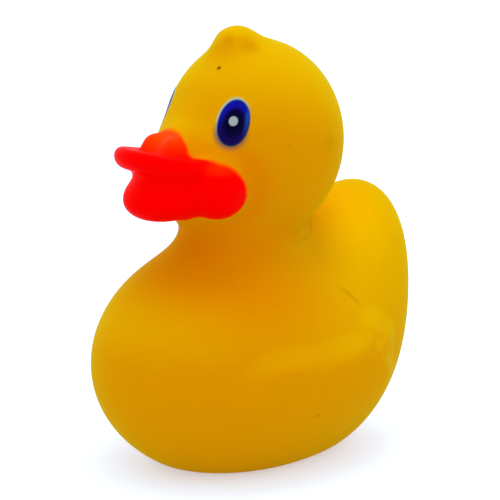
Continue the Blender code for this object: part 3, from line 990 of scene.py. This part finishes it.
    def sprayed(
        self, tree: bpy.types.NodeTree, where: bpy.types.NodeSocket
    ) -> tuple[bpy.types.NodeSocket, bpy.types.NodeSocket]:
        """Works out where the red lies.

        Args:
            tree: The material's nodes.
            where: The object's own coordinates.

        Returns:
            The share of red at each place, and the share of haze.
        """
        reach = add_node(tree, "ShaderNodeAttribute", attribute_name="bill_reach").outputs["Fac"]
        wander = add_node(
            tree,
            "ShaderNodeMath",
            {0: self.noise(tree, where, self.wobble_size), 1: self.mask_wobble_mm, 2: reach},
            operation="MULTIPLY_ADD",
        )
        edge = self.mask_edge_mm + self.mask_wobble_mm / 2
        red = add_node(
            tree,
            "ShaderNodeMapRange",
            {
                "Value": wander.outputs[0],
                "From Min": edge + self.mask_softness_mm / 2,
                "From Max": edge - self.mask_softness_mm / 2,
            },
            interpolation_type="SMOOTHSTEP",
        )
        haze = add_node(
            tree,
            "ShaderNodeMapRange",
            {
                "Value": add_node(tree, "ShaderNodeAttribute", attribute_name="spray_reach").outputs["Fac"],
                "From Min": self.haze_reach_mm,
                "From Max": edge,
                "To Max": self.haze_strength,
            },
            interpolation_type="SMOOTHERSTEP",
        )
        return red.outputs[0], haze.outputs[0]

    def material(self, surface: Surface) -> bpy.types.Material:
        """Makes the material of one surface.

        All of them carry the same colours, so no seam shows between them.

        Args:
            surface: How the finish meets the light.

        Returns:
            The material.
        """
        made = bpy.data.materials.new(surface.name)
        made.use_nodes = True
        tree = made.node_tree
        shader = tree.nodes["Principled BSDF"]
        where = add_node(tree, "ShaderNodeTexCoord").outputs["Object"]
        red, haze = self.sprayed(tree, where)

        # Painted light: the yellow is lit where the skin faces up and towards the rear, shaded where it faces
        # down
        cloud = add_node(
            tree,
            "ShaderNodeMath",
            {
                0: self.noise(tree, where, self.cloud_size),
                1: self.cloud_strength,
                2: add_node(tree, "ShaderNodeAttribute", attribute_name="painted_light_share").outputs["Fac"],
            },
            operation="MULTIPLY_ADD",
        )
        lit_share = add_node(
            tree,
            "ShaderNodeMapRange",
            {
                "Value": cloud.outputs[0],
                "From Min": self.painted_light_from,
                "From Max": self.painted_light_to,
            },
        ).outputs[0]
        colour = add_node(
            tree,
            "ShaderNodeMix",
            {0: lit_share, 6: linear(self.shaded_yellow), 7: linear(self.yellow)},
            data_type="RGBA",
        ).outputs[2]
        # Painted shade in the crease under the head
        throat_shade = add_node(
            tree,
            "ShaderNodeMath",
            {
                0: add_node(tree, "ShaderNodeAttribute", attribute_name="throat_shade").outputs["Fac"],
                1: self.throat_shade_strength,
            },
            operation="MULTIPLY",
        ).outputs[0]
        for share, tint in ((throat_shade, self.throat_shade_orange), (haze, self.haze_orange)):
            colour = add_node(
                tree, "ShaderNodeMix", {0: share, 6: colour, 7: linear(tint)}, data_type="RGBA"
            ).outputs[2]
        # Specks and the scratch, a painted light patch on the rump and painted shade in the crest dimples
        for tint_spot in self.marks_and_painted_light:
            colour = tint_spot.laid(tree, where, colour)
        bill = add_node(tree, "ShaderNodeRGB").outputs[0]
        bill.default_value = linear(self.red)
        # Painted highlights on the nostrils' mound and in the corner creases
        for spot in self.red_highlights:
            bill = spot.laid(tree, where, bill)
        colour = add_node(tree, "ShaderNodeMix", {0: red, 6: colour, 7: bill}, data_type="RGBA").outputs[2]
        on_eye = add_node(tree, "ShaderNodeAttribute", attribute_name="eye_place").outputs["Vector"]
        for spot in self.eye_spots:
            colour = spot.laid(tree, on_eye, colour)

        dimples = add_node(
            tree,
            "ShaderNodeBump",
            {"Height": self.noise(tree, where, self.dimple_size), "Distance": self.dimple_depth},
        ).outputs[0]
        grain = add_node(
            tree,
            "ShaderNodeBump",
            {
                "Height": self.noise(tree, where, self.grain_size),
                "Distance": self.grain_depth,
                "Normal": dimples,
            },
        ).outputs[0]

        tree.links.new(colour, shader.inputs["Base Color"])
        tree.links.new(grain, shader.inputs["Normal"])
        shader.inputs["Roughness"].default_value = surface.roughness
        shader.inputs["IOR"].default_value = self.index
        shader.inputs["Specular IOR Level"].default_value = surface.gloss
        shader.inputs["Specular Tint"].default_value = linear(surface.tint)
        shader.inputs["Sheen Weight"].default_value = surface.bloom
        shader.inputs["Sheen Tint"].default_value = linear(surface.tint)
        shader.inputs["Subsurface Weight"].default_value = surface.depth
        shader.inputs["Subsurface Radius"].default_value = self.depth_radius
        shader.inputs["Subsurface Scale"].default_value = self.depth_scale
        return made

    def lay_on(self, skin: bpy.types.Object, eye: Eye) -> None:
        """Gives the skin its materials: paint where a face lies wholly in the red or an eye, else vinyl.

        Args:
            skin: The duck.
            eye: Its eye, for the oval's size.
        """
        mesh = skin.data
        count = len(mesh.vertices)
        reach = np.empty(count)
        place = np.empty(count * 3)
        mesh.attributes["bill_reach"].data.foreach_get("value", reach)
        mesh.attributes["eye_place"].data.foreach_get("vector", place)
        place = place.reshape(count, 3)
        half_width, half_height = eye.width / 2 / MILLIMETRE, eye.height / 2 / MILLIMETRE
        share = np.hypot(place[:, 0] / half_width, place[:, 1] / half_height) + place[:, 2]
        corners = np.empty(len(mesh.loops), dtype=np.int32)
        starts = np.empty(len(mesh.polygons), dtype=np.int32)
        mesh.loops.foreach_get("vertex_index", corners)
        mesh.polygons.foreach_get("loop_start", starts)
        in_red = np.maximum.reduceat(reach[corners], starts) < self.deep_mm
        in_eye = np.maximum.reduceat(share[corners], starts) < 1.0
        mesh.materials.clear()
        surfaces = (self.vinyl, self.red_paint, self.eye_paint)
        for surface in surfaces:
            mesh.materials.append(self.material(surface))
        kinds = np.where(in_red, surfaces.index(self.red_paint), surfaces.index(self.vinyl))
        kinds = np.where(in_eye, surfaces.index(self.eye_paint), kinds)
        mesh.polygons.foreach_set("material_index", kinds.astype(np.int32))


@dataclass(frozen=True)
class Studio:
    """A white floor and surround, one large soft lamp overhead, and the camera at the photograph's angle."""

    azimuth: float = 51.11
    elevation: float = 13.05
    distance: float = 0.450
    view_width: float = 0.1025
    target: Point = (0.0, 0.0006, 0.0450)
    aim_right: float = 0.0020
    aim_up: float = -0.0015
    sensor: float = 36.0
    floor_size: float = 6.0
    floor_colour: str = "#C4DAF6"
    floor_roughness: float = 0.9
    floor_glow: float = 0.46
    floor_bounce: float = 0.27
    bounce_colour: str = "#FFC078"
    surround: float = 1.03
    lamp_place: Point = (0.0, 0.04, 0.60)
    lamp_size: float = 0.30
    lamp_power: float = 0.65
    near_clip: float = 0.01
    far_clip: float = 50.0

    def directions(self) -> tuple[Vector, Vector, Vector]:
        """Gives the directions towards the camera, to its right and up in its picture."""
        a = math.radians(self.azimuth)
        e = math.radians(self.elevation)
        back = Vector((math.sin(a) * math.cos(e), -math.cos(a) * math.cos(e), math.sin(e)))
        right = Vector((math.cos(a), math.sin(a), 0.0))
        return back, right, back.cross(right)

    def add_camera(self) -> None:
        """Adds the camera."""
        back, right, up = self.directions()
        camera = bpy.data.objects.new("camera", bpy.data.cameras.new("camera"))
        camera.data.sensor_width = self.sensor
        camera.data.lens = self.sensor * self.distance / self.view_width
        camera.location = Vector(self.target) + back * self.distance
        aim = Vector(self.target) + right * self.aim_right + up * self.aim_up
        camera.rotation_euler = (camera.location - aim).to_track_quat("Z", "Y").to_euler()
        camera.data.clip_start = self.near_clip
        camera.data.clip_end = self.far_clip
        bpy.context.scene.collection.objects.link(camera)
        bpy.context.scene.camera = camera

    def add_floor(self) -> None:
        """Adds the floor.

        It glows white for the camera, up to the duck's own shadow, and throws a warm light back on the duck.
        """
        bpy.ops.mesh.primitive_plane_add(size=self.floor_size)
        floor = bpy.context.active_object
        floor.name = "floor"
        material = bpy.data.materials.new("white_paper")
        material.use_nodes = True
        tree = material.node_tree
        shader = tree.nodes["Principled BSDF"]
        shader.inputs["Base Color"].default_value = linear(self.floor_colour)
        shader.inputs["Roughness"].default_value = self.floor_roughness
        shader.inputs["Specular IOR Level"].default_value = 0.0
        seen = add_node(tree, "ShaderNodeLightPath").outputs["Is Camera Ray"]
        colour = add_node(
            tree,
            "ShaderNodeMix",
            {0: seen, 6: linear(self.bounce_colour), 7: linear(WHITE)},
            data_type="RGBA",
        )
        glow = add_node(
            tree,
            "ShaderNodeMapRange",
            {"Value": seen, "To Min": self.floor_bounce, "To Max": self.floor_glow},
        )
        tree.links.new(colour.outputs[2], shader.inputs["Emission Color"])
        tree.links.new(glow.outputs[0], shader.inputs["Emission Strength"])
        floor.data.materials.append(material)

    def add_surround(self) -> None:
        """Lights the duck evenly from all round, and shows as white to the camera."""
        world = bpy.data.worlds.new("white_surround")
        world.use_nodes = True
        tree = world.node_tree
        background = tree.nodes["Background"]
        background.inputs["Color"].default_value = linear(WHITE)
        seen = add_node(tree, "ShaderNodeLightPath").outputs["Is Camera Ray"]
        strength = add_node(
            tree, "ShaderNodeMapRange", {"Value": seen, "To Min": self.surround, "To Max": 1.0}
        )
        tree.links.new(strength.outputs[0], background.inputs["Strength"])
        bpy.context.scene.world = world

    def add_lamp(self) -> None:
        """Adds the soft lamp overhead."""
        lamp = bpy.data.objects.new("overhead", bpy.data.lights.new("overhead", "AREA"))
        lamp.data.shape = "DISK"
        lamp.data.size = self.lamp_size
        lamp.data.energy = self.lamp_power
        lamp.location = self.lamp_place
        lamp.rotation_euler = (lamp.location - Vector(self.target)).to_track_quat("Z", "Y").to_euler()
        bpy.context.scene.collection.objects.link(lamp)

    def build(self) -> None:
        """Builds the studio."""
        self.add_camera()
        self.add_floor()
        self.add_surround()
        self.add_lamp()
        bpy.context.scene.view_settings.view_transform = "Standard"
        LOG.info("studio: camera, floor, surround and lamp")


def main() -> None:
    """Builds the duck over its frame, and the studio round it."""
    logging.basicConfig(level=logging.INFO, format="%(message)s")
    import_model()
    duck = Skin()
    skin = duck.build()
    PaintedVinyl().lay_on(skin, duck.eye)
    Studio().build()


if __name__ == "__main__":
    main()
